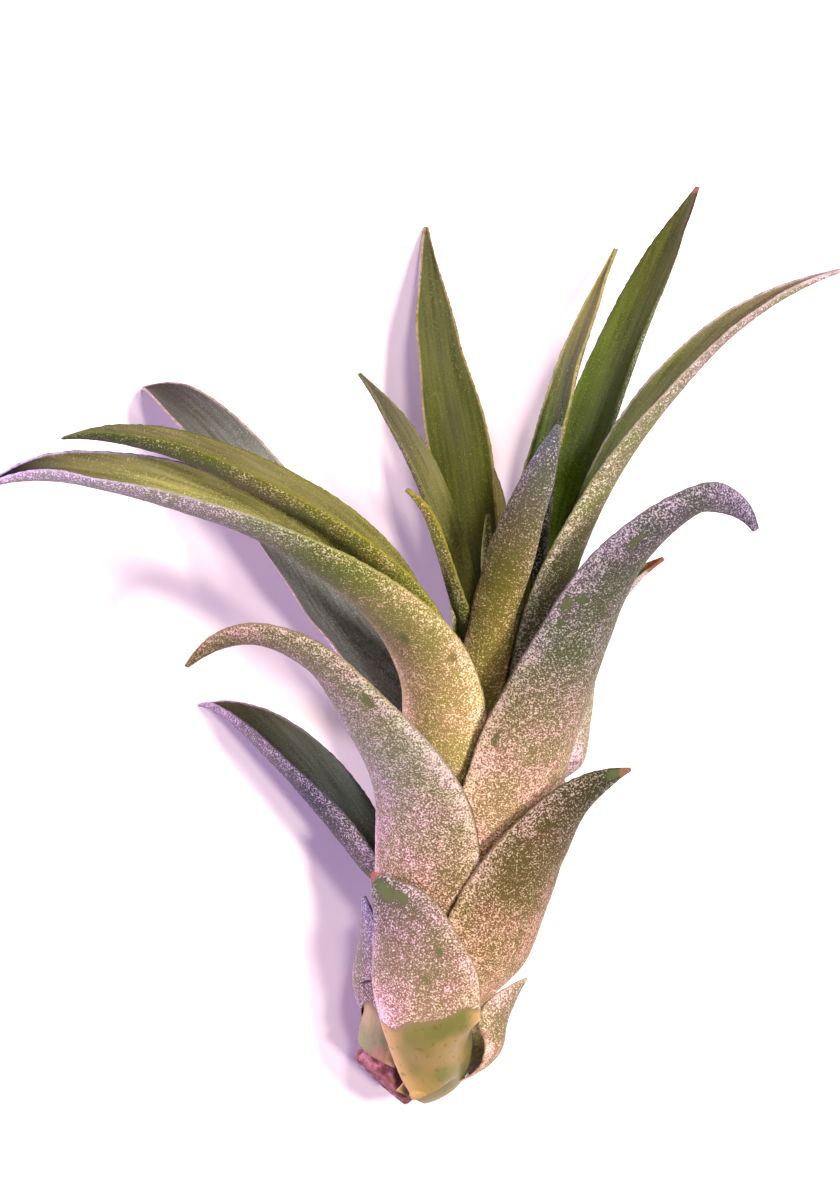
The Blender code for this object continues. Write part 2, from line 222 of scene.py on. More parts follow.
def outward(turn):
    """The direction away from the stem at a turn in degrees."""
    angle = math.radians(turn)
    return math.cos(angle) * STEM_UP + math.sin(angle) * STEM_RIGHT


print("stem axis:", np.round(STEM_AXIS, 3))

# %% [markdown]
# ### Smooth curves, and which way a leaf faces
#
# A midrib is a smooth curve through a few points. Near the foot the leaf's inside faces the
# stem; further out it follows the bend of the midrib, and rolls over as a heavy blade does.

# %% Curves and facing
def smooth_values(knots, values, at):
    """A cubic through the values that never overshoots them."""
    knots = np.asarray(knots, float)
    values = np.asarray(values, float)
    gaps = np.diff(knots)
    slopes = np.diff(values) / gaps
    tangents = np.zeros_like(values)
    tangents[0] = slopes[0]
    tangents[-1] = slopes[-1]
    for i in range(1, len(values) - 1):
        before, after = slopes[i - 1], slopes[i]
        if before * after > 0:
            tangents[i] = 2 * before * after / (before + after)
    i = np.clip(np.searchsorted(knots, at, side="right") - 1, 0, len(gaps) - 1)
    t = np.clip((at - knots[i]) / gaps[i], 0, 1)
    start = (2 * t**3 - 3 * t**2 + 1) * values[i] + (t**3 - 2 * t**2 + t) * gaps[i] * tangents[i]
    end = (3 * t**2 - 2 * t**3) * values[i + 1] + (t**3 - t**2) * gaps[i] * tangents[i + 1]
    return start + end


def smooth_curve(points):
    """A dense smooth curve through the points, its running length, and each point's length."""
    points = np.asarray(points, float)
    steps = np.linalg.norm(np.diff(points, axis=0), axis=1) ** 0.5
    knots = np.concatenate([[0.0], np.cumsum(steps)])
    slopes = np.diff(points, axis=0) / steps[:, None]
    tangents = np.empty_like(points)
    tangents[0] = slopes[0]
    tangents[-1] = slopes[-1]
    for i in range(1, len(points) - 1):
        before, after = steps[i - 1], steps[i]
        tangents[i] = (slopes[i - 1] * after + slopes[i] * before) / (before + after)
    tangents[-1] = 2 * slopes[-1] - tangents[-2]
    at = np.linspace(0, knots[-1], CURVE_SAMPLES)
    i = np.clip(np.searchsorted(knots, at, side="right") - 1, 0, len(steps) - 1)
    gap = steps[i][:, None]
    t = ((at - knots[i]) / steps[i])[:, None]
    curve = (2 * t**3 - 3 * t**2 + 1) * points[i] + (t**3 - 2 * t**2 + t) * gap * tangents[i]
    curve += (3 * t**2 - 2 * t**3) * points[i + 1] + (t**3 - t**2) * gap * tangents[i + 1]
    lengths = np.linalg.norm(np.diff(curve, axis=0), axis=1)
    lengths = np.concatenate([[0.0], np.cumsum(lengths)])
    return curve, lengths, np.interp(knots, at, lengths)


def eased(value):
    """0 to 1 with a soft start and a soft end."""
    value = np.clip(value, 0, 1)
    return value * value * (3 - 2 * value)


def facing(curve, lengths, sheath_end, blade_start, turn, roll):
    """Tangent and inward direction along a leaf: it faces the stem, then rolls with the blade."""
    tangents = np.gradient(curve, axis=0)
    tangents /= np.linalg.norm(tangents, axis=1)[:, None]
    inward = -outward(turn)
    carried = np.zeros_like(curve)
    direction = inward
    for i, tangent in enumerate(tangents):
        direction = unit(direction - (direction @ tangent) * tangent)
        carried[i] = direction
    along = (lengths - sheath_end) / (lengths[-1] - sheath_end)
    angle = math.radians(roll) * eased(along / ROLL_REACH)[:, None]
    rolled = carried * np.cos(angle) + np.cross(tangents, carried) * np.sin(angle)
    freed = eased((lengths - sheath_end) / (blade_start - sheath_end))[:, None]
    faced = rolled * freed + inward * (1 - freed)
    return tangents, faced / np.linalg.norm(faced, axis=1)[:, None]


print("eased half way:", eased(0.5))

# %% [markdown]
# ## The skin of one leaf
#
# A real blade is a thin channel: about a millimetre thick along its middle, and drawn out to a
# soft, slightly frayed edge. No two are the same, so each margin lifts and dips a little, the
# faces carry faint ribs, and the edge is nibbled by tufts of scale. All of that is visible in
# the outline, so it belongs in the mesh and not only in the material. A cloth or sculpt pass
# could give the unevenness, but small seeded waves do it in a moment and come out the same
# every time. Each leaf's seed is made from its name.

# %% Fine grid of points over both faces of a leaf
STATION_STEP = 0.5
CELLS_ACROSS = 26
MARGIN_LIFT = 0.35
WIDTH_WOBBLE = 0.02
RIB_HEIGHT = 0.03
RIB_SPACING = 1.25
GRAIN_HEIGHT = 0.016
FRINGE = 0.13
FREEING_LENGTH = 4.0
WOBBLE_LENGTH = 9.0
LONG_LIFT = 11.0
SHORT_LIFT = 5.0


def seeded(name):
    return np.random.default_rng(zlib.crc32(name.encode()))


def smooth_wave(random, length, spacing, at):
    """A smooth wave between -1 and 1 along a leaf, with a new height about every spacing."""
    count = max(4, int(length / spacing) + 3)
    heights = random.uniform(-1, 1, count)
    return smooth_values(np.linspace(0, length, count), heights, at)


def leaf_frame(leaf):
    """Everything that changes along a leaf, at stations half a millimetre apart."""
    foot_radius = np.interp(leaf.height, STEM_HEIGHTS, STEM_RADII)
    foot_radius += ROOT_GAP + SHEATH_THICKNESS / 2 + leaf.spread
    away = outward(leaf.turn)
    foot = stem_centre(leaf.height) + away * foot_radius
    sheath_top = stem_centre(leaf.height + leaf.rise) + away * leaf.radius
    wrap = math.radians(leaf.wrap)
    points = [foot, sheath_top] + [np.array(point[:3]) for point in leaf.blade]
    widths = [2 * wrap * foot_radius, 2 * wrap * leaf.radius] + [point[3] for point in leaf.blade]
    angles = [wrap, wrap] + [math.radians(leaf.channel)] * len(leaf.blade)

    curve, lengths, knots = smooth_curve(points)
    total = lengths[-1]
    tangents, inward = facing(curve, lengths, knots[1], knots[2], leaf.turn, leaf.roll)
    from_base = curve - STEM_BASE
    from_axis = np.linalg.norm(from_base - np.outer(from_base @ STEM_AXIS, STEM_AXIS), axis=1)
    half_angle = smooth_values(knots, angles, lengths)
    width = smooth_values(knots, widths, lengths)
    width = np.where(lengths <= knots[1], 2 * half_angle * from_axis, width)

    at = np.linspace(0, total, int(total / STATION_STEP) + 1)
    thick_knots = [0, knots[1] / total, min(knots[2] / total, 0.9), 1]
    thick_values = [SHEATH_THICKNESS, SHEATH_THICKNESS, BLADE_THICKNESS, TIP_THICKNESS]
    thickness = smooth_values(thick_knots, thick_values, at / total)

    def sampled(values):
        return np.stack([np.interp(at, lengths, values[:, axis]) for axis in range(3)], axis=1)

    middle = sampled(curve)
    inside = sampled(inward)
    side = np.cross(sampled(tangents), inside)
    side /= np.linalg.norm(side, axis=1)[:, None]
    return {
        "at": at, "total": total, "sheath": knots[1], "blade": knots[2],
        "middle": middle, "inside": inside, "side": side,
        "half": np.interp(at, lengths, half_angle), "width": np.interp(at, lengths, width),
        "thickness": thickness,
    }


print("stations on the first leaf:", len(leaf_frame(LEAVES[0])["at"]))

# %% [markdown]
# ### Thickness, ribs and frayed margins
#
# Two faces are laid on either side of the middle sheet. They meet in a rounded margin, where
# single tufts of scale stand out by a tenth of a millimetre.

# %% Both faces of a leaf
def leaf_skin(leaf):
    """Points of the inner and outer face, each as stations by places across, and their places."""
    f = leaf_frame(leaf)
    random = seeded(leaf.name)
    at, total = f["at"], f["total"]
    free = eased((at - f["sheath"]) / (f["blade"] - f["sheath"] + FREEING_LENGTH))
    width = f["width"] * (1 + WIDTH_WOBBLE * free * smooth_wave(random, total, WOBBLE_LENGTH, at))
    even = np.linspace(-1, 1, CELLS_ACROSS + 1)
    across = 0.55 * even + 0.45 * np.sin(even * math.pi / 2)

    inside, side = f["inside"][:, None], f["side"][:, None]
    bend_radius = (width / 2 / f["half"])[:, None, None]
    angle = (f["half"][:, None] * across)[..., None]
    sheet = f["middle"][:, None] + bend_radius * (
        np.sin(angle) * side + (1 - np.cos(angle)) * inside
    )
    normal = np.cos(angle) * inside - np.sin(angle) * side

    lift = np.zeros((len(at), len(across)))
    for sign in (-1, 1):
        wave = smooth_wave(random, total, LONG_LIFT, at)
        wave = wave + 0.5 * smooth_wave(random, total, SHORT_LIFT, at)
        edge = np.clip(sign * across, 0, 1) ** 2.5
        lift += MARGIN_LIFT * (free * wave)[:, None] * edge
    tuft = random.uniform(0, 1, (2, len(at))) * np.clip(width / 5, 0, 1) * FRINGE
    beyond = np.cos(angle) * side + np.sin(angle) * inside
    sheet[:, 0] -= beyond[:, 0] * tuft[0][:, None]
    sheet[:, -1] += beyond[:, -1] * tuft[1][:, None]
    sheet = sheet + normal * lift[..., None]

    margin = np.minimum(MARGIN_THICKNESS, f["thickness"])[:, None]
    depth = margin + (f["thickness"][:, None] - margin) * (1 - across**2)
    depth = depth * np.sqrt(1 - np.abs(across) ** 20)
    place = across * width[:, None] / 2
    ribs = RIB_HEIGHT * np.cos(place * 2 * math.pi / RIB_SPACING) * free[:, None]
    ribs = ribs * (1 - np.abs(across) ** 3)
    grain = random.normal(0, GRAIN_HEIGHT, (2, len(at), len(across)))
    grain[:, :, [0, -1]] = 0
    inner = sheet + normal * (depth / 2 + 0.4 * ribs + 0.3 * grain[0])[..., None]
    outer = sheet - normal * (depth / 2 + ribs + grain[1])[..., None]
    return f, across, width, inner, outer


print("points across the first leaf:", leaf_skin(LEAVES[0])[3].shape)

# %% [markdown]
# ## Wear and age
#
# Old leaves are rubbed green in spots, stained along their margins and dried at their tips, and
# the lowest ones are bare where a fallen leaf used to cover them. Painting would do, but a short
# list of places keeps the marks where the leaf is, whatever its shape.

# %% Where each leaf is marked
# kind; place along the leaf (0 foot, 1 tip) and across it (-1 to 1); half length, half width in mm
MARKS = {
    "basal_front_leaf": [
        ("worn", 0.925, -0.15, 2.6, 1.5), ("worn", 0.88, -0.45, 1.6, 0.9),
        ("worn", 0.62, -0.15, 1.3, 0.6), ("worn", 0.70, -0.55, 0.9, 0.5),
        ("stained", 0.12, 0.97, 3.4, 0.9),
    ],
    "basal_left_leaf": [("stained", 0.04, -0.6, 2.6, 2.2), ("stained", 0.12, -0.9, 3.0, 1.2)],
    "basal_right_leaf": [("stained", 0.05, 0.0, 1.4, 2.0), ("stained", 0.5, 0.95, 1.0, 0.7)],
    "lower_right_leaf": [("worn", 0.945, 0.45, 2.2, 1.2), ("stained", 0.975, 0.2, 1.2, 1.5)],
    "front_curled_leaf": [("worn", 0.66, -0.75, 2.2, 0.7), ("worn", 0.86, 0.2, 2.5, 0.7)],
    "big_silver_leaf": [
        ("worn", 0.60, 0.80, 2.0, 1.2), ("worn", 0.62, 0.62, 1.0, 0.8), ("worn", 0.57, 0.7, 1.4, 0.6),
        ("worn", 0.35, 0.80, 2.0, 0.5), ("worn", 0.74, 0.5, 2.2, 0.6),
    ],
    "long_left_leaf": [("worn", 0.37, -0.35, 1.6, 0.7), ("worn", 0.31, -0.75, 1.2, 0.6)],
    "low_left_leaf": [("worn", 0.50, 0.6, 2.5, 0.8)],
}
DRY_TIPS = {
    "basal_front_leaf": 1.1, "lower_right_leaf": 0.6, "tucked_right_leaf": 2.4,
    "tall_right_leaf": 1.2, "back_left_leaf": 0.8,
}
DRIED_PER_MARK = 1.3
DRIED_FADE = 0.8
BARE_FADE = 0.9
BARE_FEET = {"basal_front_leaf": 0.47, "basal_left_leaf": 0.28, "basal_right_leaf": 0.12}
print("leaves with marks:", len(MARKS), "and with dried tips:", len(DRY_TIPS))

# %% [markdown]
# ## From points to a closed mesh with its own notes
#
# The two faces meet along the margins, and a small cap closes the foot and the tip, so each
# leaf is one watertight shell. The material will need to know where on the leaf it is: how far
# along, which face, how far from the margin. Image textures could hold that, but a few numbers
# stored on every vertex are lighter and never blur. Blender calls them attributes.

# %% Build one leaf as a mesh with attributes
def blot(f, across, width, centre_along, centre_across, half_length, half_width):
    """A soft-edged spot on a leaf: 1 in its middle and 0 outside."""
    s = (f["at"][:, None] - centre_along * f["total"]) / half_length
    a = (across[None, :] - centre_across) * width[:, None] / 2 / half_width
    return eased(1.6 * (1 - np.sqrt(s**2 + a**2)))


def leaf_faces(rings, sides):
    """Quads round the shell, and the caps over its foot and tip."""
    faces = []
    for ring in range(rings - 1):
        start = ring * sides
        for place in range(sides):
            a, b = start + place, start + (place + 1) % sides
            faces.append((a, b, b + sides, a + sides))
    half = sides // 2
    last = (rings - 1) * sides
    for place in range(half):
        a, b = place, place + 1
        c, d = (sides - place - 1) % sides, (sides - place) % sides
        pair = [b, a, d, c]
        pair = list(dict.fromkeys(pair))
        if len(pair) > 2:
            faces.append(tuple(pair))
            faces.append(tuple(last + corner for corner in reversed(pair)))
    return faces


print("caps close a ring of 6:", leaf_faces(1, 6)[:2])

# %% [markdown]
# ### Notes on every vertex
#
# The shell gets its attributes here: place along the leaf, face, distance from the margin and
# from the tip, and how worn, bare, stained or dried each point is.

# %% The leaf's object
def build_leaf(leaf):
    """The leaf's object, closed and smooth, with the attributes that its skin reads."""
    f, across, width, inner, outer = leaf_skin(leaf)
    stations, places = inner.shape[:2]
    points = np.concatenate([inner, outer[:, -2:0:-1]], axis=1)
    sides = points.shape[1]
    order = np.concatenate([np.arange(places), np.arange(places - 2, 0, -1)])
    is_outer = np.concatenate([np.zeros(places), np.ones(places - 2)])
    is_outer[[0, places - 1]] = 0.5
    faces = leaf_faces(stations, sides)

    mesh = bpy.data.meshes.new(leaf.name + "_skin")
    flat = points.reshape(-1, 3)
    mesh.from_pydata(((flat - ORIGIN) * MM).tolist(), [], faces)
    mesh.validate()
    mesh.shade_smooth()

    along = np.repeat((f["at"] / f["total"])[:, None], places, axis=1)
    from_margin = (1 - np.abs(across))[None, :] * width[:, None] / 2
    from_tip = f["total"] - f["at"]
    dry_length = DRY_TIPS.get(leaf.name, 0.0) * DRIED_PER_MARK
    dried = np.repeat(eased((dry_length - from_tip) / DRIED_FADE)[:, None], places, axis=1)
    notes = {"along": along, "from_margin": from_margin, "dried": dried}
    for kind in ("worn", "bare", "stained"):
        total = np.zeros((stations, places))
        for mark in MARKS.get(leaf.name, ()):
            if mark[0] == kind:
                total = np.maximum(total, blot(f, across, width, *mark[1:]))
        notes[kind] = total
    if leaf.name in BARE_FEET:
        wave = smooth_wave(seeded(leaf.name + "_foot"), 2.0, 0.5, across + 1) * 0.8
        reach = BARE_FEET[leaf.name] * f["total"] - f["at"][:, None] + wave[None, :]
        notes["bare"] = np.maximum(notes["bare"], eased(0.5 + reach / BARE_FADE))
    for name, values in notes.items():
        attribute = mesh.attributes.new(name, "FLOAT", "POINT")
        attribute.data.foreach_set("value", values[:, order].astype(np.float32).ravel())
    face = mesh.attributes.new("outside", "FLOAT", "POINT")
    face.data.foreach_set("value", np.tile(is_outer, stations).astype(np.float32))
    place = np.zeros((stations, sides, 3), np.float32)
    place[..., 0] = f["at"][:, None]
    place[..., 1] = (across[None, :] * width[:, None] / 2)[:, order]
    grain = mesh.attributes.new("grain", "FLOAT_VECTOR", "POINT")
    grain.data.foreach_set("vector", place.ravel())

    piece = bpy.data.objects.new(leaf.name + "_skin", mesh)
    bpy.context.scene.collection.objects.link(piece)
    return piece


print("builder ready for", len(LEAVES), "leaves")

# %% [markdown]
# ## A short way to write node materials
#
# Node materials can be clicked together by hand, or written as code. Code is easier to read back
# and to reuse for twenty-five leaves, once a few small helpers add a node, mix two colours or
# remap a value.

# %% Node helpers
def node(tree, kind, inputs=None, **settings):
    made = tree.nodes.new(kind)
    for key, value in settings.items():
        setattr(made, key, value)
    for key, value in (inputs or {}).items():
        if isinstance(value, bpy.types.NodeSocket):
            tree.links.new(value, made.inputs[key])
        else:
            made.inputs[key].default_value = value
    return made


def colour_of(rgb):
    """A linear colour from one written with 0 to 255 for each channel."""
    channels = np.array(rgb, float) / 255
    linear = np.where(channels <= 0.04045, channels / 12.92, ((channels + 0.055) / 1.055) ** 2.4)
    return (*[float(value) for value in linear], 1.0)


def mixed(tree, amount, first, second, blend="MIX"):
    made = node(tree, "ShaderNodeMix", {0: amount, 6: first, 7: second}, data_type="RGBA")
    made.blend_type = blend
    return made.outputs[2]


def remapped(tree, value, low, high, to_low=0.0, to_high=1.0):
    inputs = {"Value": value, 1: low, 2: high, 3: to_low, 4: to_high}
    return node(tree, "ShaderNodeMapRange", inputs, interpolation_type="SMOOTHSTEP").outputs[0]


def maths(tree, operation, first, second=0.0):
    return node(tree, "ShaderNodeMath", {0: first, 1: second}, operation=operation).outputs[0]


def noted(tree, name, output="Fac"):
    """A value that was stored on the mesh under this name."""
    return node(tree, "ShaderNodeAttribute", attribute_name=name).outputs[output]


def ramp(tree, value, stops):
    """Colours along a value; each stop is a place and a colour."""
    made = node(tree, "ShaderNodeValToRGB", {"Fac": value})
    elements = made.color_ramp.elements
    while len(elements) < len(stops):
        elements.new(0.5)
    for element, (place, rgb) in zip(elements, stops):
        element.position = place
        element.color = colour_of(rgb)
    return made.outputs["Color"]


def new_material(name):
    material = bpy.data.materials.new(name)
    material.use_nodes = True
    tree = material.node_tree
    return material, tree, tree.nodes["Principled BSDF"]


print("checking a mid grey:", np.round(colour_of((128, 128, 128)), 3))

# %% [markdown]
# ## The leaf skin
#
# The outside of an air plant's leaf is covered with scurf: round, overlapping scales about a
# quarter of a millimetre wide that drink water from the air. They are silvery and dense near the
# foot and thinner towards the tip, where olive flesh shows between them. The inside is smoother,
# greener, faintly streaked along its length, with only a few scattered scales. Cells of a
# Voronoi texture are the natural choice for the scales, since each cell can be shown or left
# out on its own. The same cells raise the surface a little, so the light catches them.

# %% Colours of each leaf, from foot to tip, outside then inside
# These colours weren't chosen one by one: a fitting program wrote most of them, and 13 in them
# is its lower limit. Those of hidden faces were given one by one. scurf is how much covers the outside.
# The fit took in the light and shade that fall on each third of a leaf, so these colours are partly painted
# light and shade; the near-black 13s are painted shade deep in the rosette.
INSIDE_SCURF = 0.42
Skin = namedtuple("Skin", "outside inside scurf")
HIDDEN_SKIN = Skin([(175, 150, 120), (150, 132, 105), (120, 112, 70)], [(120, 120, 60)] * 3, 0.6)

SKINS = {
    "basal_front_leaf": Skin([(149, 126, 109), (149, 126, 109), (75, 76, 67)], [(150, 140, 70)] * 3, 0.7),
    "basal_right_leaf": Skin(
        [(164, 131, 116), (130, 114, 91), (145, 133, 122)], [(118, 120, 58)] * 3, 0.6
    ),
    "basal_left_leaf": Skin([(110, 100, 86), (128, 120, 106), (132, 127, 144)], [(150, 140, 70)] * 3, 0.6),
    "lower_right_leaf": Skin(
        [(158, 127, 97), (100, 84, 48), (26, 34, 13)], [(150, 140, 70), (135, 130, 65), (120, 120, 60)], 0.7
    ),
    "under_leaf_low": HIDDEN_SKIN,
    "front_curled_leaf": Skin(
        [(125, 85, 45), (122, 123, 109), (94, 79, 23)], [(98, 98, 50), (98, 98, 50), (96, 96, 54)], 0.7
    ),
    "low_left_leaf": Skin(
        [(101, 97, 78), (39, 42, 58), (136, 125, 137)], [(46, 50, 34), (63, 75, 74), (51, 47, 23)], 0.5
    ),
    "under_leaf_right": HIDDEN_SKIN,
    "under_leaf_middle": HIDDEN_SKIN,
    "big_silver_leaf": Skin(
        [(177, 145, 116), (83, 88, 74), (66, 64, 90)],
        [(160, 150, 110), (155, 145, 105), (150, 140, 100)], 0.66
    ),
    "tucked_right_leaf": Skin(
        [(173, 149, 169), (154, 144, 138), (155, 149, 145)], [(118, 120, 58)] * 3, 0.6
    ),
    "long_left_leaf": Skin(
        [(198, 173, 131), (92, 104, 42), (164, 156, 184)],
        [(195, 192, 124), (177, 181, 113), (13, 13, 13)], 0.42
    ),
    "back_left_leaf": Skin([(150, 138, 124)] * 3, [(122, 131, 134), (122, 131, 134), (35, 29, 13)], 0.6),
    "under_leaf_high": HIDDEN_SKIN,
    "long_right_leaf": Skin(
        [(13, 13, 13), (114, 119, 87), (150, 142, 145)], [(66, 86, 13), (69, 92, 13), (96, 89, 68)], 0.42
    ),
    "nested_left_leaf": Skin(
        [(124, 128, 13), (105, 108, 13), (62, 78, 13)], [(90, 93, 49), (90, 92, 49), (90, 89, 62)], 0.35
    ),
    "under_leaf_inner": Skin([(140, 130, 90), (120, 112, 80), (110, 105, 70)], [(118, 120, 58)] * 3, 0.6),
    "tall_right_leaf": Skin(
        [(54, 84, 13), (59, 92, 13), (41, 18, 13)], [(54, 75, 13), (62, 84, 13), (57, 63, 20)], 0.5
    ),
    "tall_centre_leaf": Skin(
        [(110, 105, 60), (120, 112, 70), (130, 118, 80)], [(13, 13, 13), (58, 66, 18), (73, 79, 50)], 0.5
    ),
    "blunt_inner_leaf": Skin(
        [(154, 142, 78), (111, 104, 45), (80, 90, 97)],
        [(120, 115, 60), (125, 120, 70), (130, 125, 80)], 0.42
    ),
    "thin_inner_leaf": Skin(
        [(13, 14, 13), (13, 15, 13), (24, 44, 13)], [(90, 92, 45), (95, 96, 47), (100, 100, 50)], 0.5
    ),
    "narrow_left_leaf": Skin(
        [(129, 148, 13), (81, 92, 13), (83, 83, 53)], [(130, 136, 66), (90, 94, 49), (69, 69, 58)], 0.35
    ),
    "narrow_right_leaf": Skin([(120, 122, 72)] * 3, [(157, 141, 78), (47, 72, 25), (94, 93, 52)], 0.35),
    "pale_inner_leaf": Skin(
        [(80, 85, 13), (81, 88, 13), (115, 113, 24)], [(120, 118, 60), (125, 121, 67), (130, 125, 75)], 0.4
    ),
    "heart_leaf": Skin([(97, 109, 40), (88, 100, 35), (88, 100, 35)], [(80, 82, 38)] * 3, 0.4),
}
print("skins:", len(SKINS))

# %% [markdown]
# ### The scales
#
# Each scale is a cell with a pale domed top. Fine noise breaks the cells up, and two slower
# noises gather them into clumps and leave barer patches, as rubbing does on a living leaf.

# %% The scale pattern
SCALE_CELLS = 3800.0
GRIT_SIZE = 3600.0
CLUMP_SIZE = 900.0
PATCH_SIZE = 160.0
DOME_WEIGHT = 0.75
GRIT_WEIGHT = 3.0
CLUMP_WEIGHT = 0.9
PATCH_WEIGHT = 0.5
SCALE_STARTS = 2.35
SCALE_FULL = 3.5


def spread_stops(colours):
    places = np.linspace(0.1, 0.95, len(colours))
    return [(float(place), colour) for place, colour in zip(places, colours)]


def scurf_pattern(tree, where, cover):
    """0 on bare flesh and 1 on a silvery scale; cover says how much of the skin is hidden."""
    cells = node(tree, "ShaderNodeTexVoronoi", {"Vector": where, "Scale": SCALE_CELLS})
    lot = node(tree, "ShaderNodeSeparateColor", {"Color": cells.outputs["Color"]}).outputs[0]
    dome = remapped(tree, cells.outputs["Distance"], 0.70, 0.10)
    grit, clumps, patches = (
        node(
            tree, "ShaderNodeTexNoise",
            {"Vector": where, "Scale": size, "Detail": detail, "Roughness": 0.7},
        ).outputs[0]
        for size, detail in ((GRIT_SIZE, 2.0), (CLUMP_SIZE, 2.0), (PATCH_SIZE, 1.0))
    )
    level = maths(tree, "MULTIPLY", maths(tree, "MULTIPLY", dome, lot), DOME_WEIGHT)
    weights = ((grit, GRIT_WEIGHT), (clumps, CLUMP_WEIGHT), (patches, PATCH_WEIGHT))
    for noise, weight in weights:
        level = maths(tree, "ADD", level, maths(tree, "MULTIPLY", noise, weight))
    level = maths(tree, "ADD", level, cover)
    return remapped(tree, level, SCALE_STARTS, SCALE_FULL), clumps, patches


print("scales across one millimetre:", round(SCALE_CELLS / 1000, 1))

# %% [markdown]
# ### How much scurf lies where
#
# The cover is thick over the sheath and thins towards the tip. Sheltered margins keep more of
# it, rubbed spots lose most of it, and the bare feet never had any.

# %% Cover of scales over one leaf
TIP_LOSS = 0.45
MARGIN_GAIN = 0.35
RUBBED_LOSS = 0.8
BARE_LOSS = 3.0


def tinted(tree, colour, factors):
    """The colour with its red, green and blue each multiplied by a factor."""
    return mixed(tree, 1.0, colour, (*factors, 1.0), "MULTIPLY")


def scurf_cover(tree, skin, notes):
    cover = remapped(tree, notes["outside"], 0.0, 1.0, INSIDE_SCURF, skin.scurf)
    edge = remapped(tree, notes["from_margin"], 4.0, 0.3)
    edge = maths(tree, "MULTIPLY", edge, notes["outside"])
    cover = maths(tree, "ADD", cover, maths(tree, "MULTIPLY", edge, MARGIN_GAIN))
    for kind, loss in (("along", TIP_LOSS), ("worn", RUBBED_LOSS), ("bare", BARE_LOSS)):
        cover = maths(tree, "SUBTRACT", cover, maths(tree, "MULTIPLY", notes[kind], loss))
    return cover


print("cover lost from foot to tip:", TIP_LOSS)

# %% [markdown]
# ### The silvery outside
#
# Three tones lie over each other: dull flesh, a silver veil, and bright tops where light catches
# the scales. Broad patches lean a little to green or to pink, so no leaf is one flat colour.

# %% Outside of a leaf
RUBBED_GREEN = (0.055, 0.085, 0.022, 1.0)
SCALE_WHITE = (0.86, 0.80, 0.82, 1.0)


def outside_colour(tree, base, notes, scales, patches):
    flesh = tinted(tree, base, (0.52, 0.56, 0.36))
    flesh = mixed(tree, maths(tree, "MULTIPLY", notes["worn"], 0.8), flesh, RUBBED_GREEN)
    silver = tinted(tree, base, (1.18, 1.13, 1.16))
    bright = mixed(tree, 0.25, tinted(tree, base, (2.0, 1.95, 2.2)), SCALE_WHITE)
    colour = mixed(tree, remapped(tree, scales, 0.0, 0.6), flesh, silver)
    colour = mixed(tree, remapped(tree, scales, 0.45, 1.0), colour, bright)
    lean = mixed(
        tree, remapped(tree, patches, 0.35, 0.65), (0.94, 1.02, 0.88, 1.0), (1.05, 0.98, 1.06, 1.0)
    )
    return mixed(tree, 1.0, colour, lean, "MULTIPLY")


print("scale tops are", SCALE_WHITE[:3])

# %% [markdown]
# ### The green inside
#
# The inside is nearly bare. Noise stretched along the leaf gives its faint veins, and painted shade
# darkens the bottom of the channel.

# %% Inside of a leaf
VEIN_STRETCH = (0.09, 1.5, 1.0)
CHANNEL_SHADE_HALF_WIDTH = 0.9


def veins(tree, grain):
    stretch = node(tree, "ShaderNodeMapping", {"Vector": grain, "Scale": VEIN_STRETCH})
    inputs = {"Vector": stretch.outputs[0], "Scale": 1.0, "Detail": 4.0}
    return node(tree, "ShaderNodeTexNoise", inputs).outputs[0]


def inside_colour(tree, base, grain, streaks, scales):
    colour = mixed(
        tree, remapped(tree, streaks, 0.3, 0.7),
        tinted(tree, base, (0.66, 0.70, 0.55)), tinted(tree, base, (1.22, 1.20, 1.12)),
    )
    across = node(tree, "ShaderNodeSeparateXYZ", {"Vector": grain}).outputs["Y"]
    across = maths(tree, "ABSOLUTE", across)
    # Painted shade: the middle of the channel is darkened, where shade falls in its bottom.
    channel_shade = remapped(tree, across, CHANNEL_SHADE_HALF_WIDTH, 0.0, 0.0, 0.45)
    colour = mixed(tree, channel_shade, colour, tinted(tree, base, (0.4, 0.45, 0.3)))
    return mixed(tree, scales, colour, tinted(tree, base, (2.2, 2.1, 2.3)))


print("crease is", 2 * CHANNEL_SHADE_HALF_WIDTH, "mm wide")

# %% [markdown]
# ### Bare feet, stains and dry tips
#
# A bare foot is smooth and yellow-green, with a yellowed margin and a few dark freckles. Stains
# are brown and uneven. The last millimetre of an old tip is dry and reddish.

# %% Age over the skin
FOOT_GREEN = (0.115, 0.125, 0.03, 1.0)
FOOT_OLIVE = (0.22, 0.17, 0.055, 1.0)
FOOT_MARGIN = (0.36, 0.25, 0.09, 1.0)
FRECKLE = (0.10, 0.06, 0.02, 1.0)
STAIN = (0.20, 0.09, 0.05, 1.0)
DRY_DARK = (0.10, 0.03, 0.02, 1.0)
DRY_RED = (0.34, 0.13, 0.08, 1.0)


def aged(tree, colour, notes, clumps, patches):
    foot = mixed(tree, remapped(tree, patches, 0.35, 0.65), FOOT_GREEN, FOOT_OLIVE)
    foot = mixed(tree, remapped(tree, notes["from_margin"], 3.0, 0.2), foot, FOOT_MARGIN)
    freckles = remapped(tree, clumps, 0.60, 0.68, 0.0, 0.5)
    foot = mixed(tree, freckles, foot, FRECKLE)
    colour = mixed(tree, notes["bare"], colour, foot)
    browned = remapped(tree, maths(tree, "ADD", notes["stained"], clumps), 0.75, 1.35, 0.0, 0.7)
    colour = mixed(tree, browned, colour, STAIN)
    return mixed(tree, notes["dried"], colour, mixed(tree, clumps, DRY_DARK, DRY_RED))


print("a dry tip runs from", DRY_DARK[:3], "to", DRY_RED[:3])

# %% [markdown]
# ### The whole skin
#
# One material serves both faces, since the mesh says which face it is on. A pale fuzz of scales
# follows the margins. The outside is dull and slightly velvety, the bare feet are smoother, and
# the scales and veins raise the surface by about a sixth of a millimetre.

# %% The leaf material
RELIEF = 0.00016
FUZZ_WIDTH = 0.42


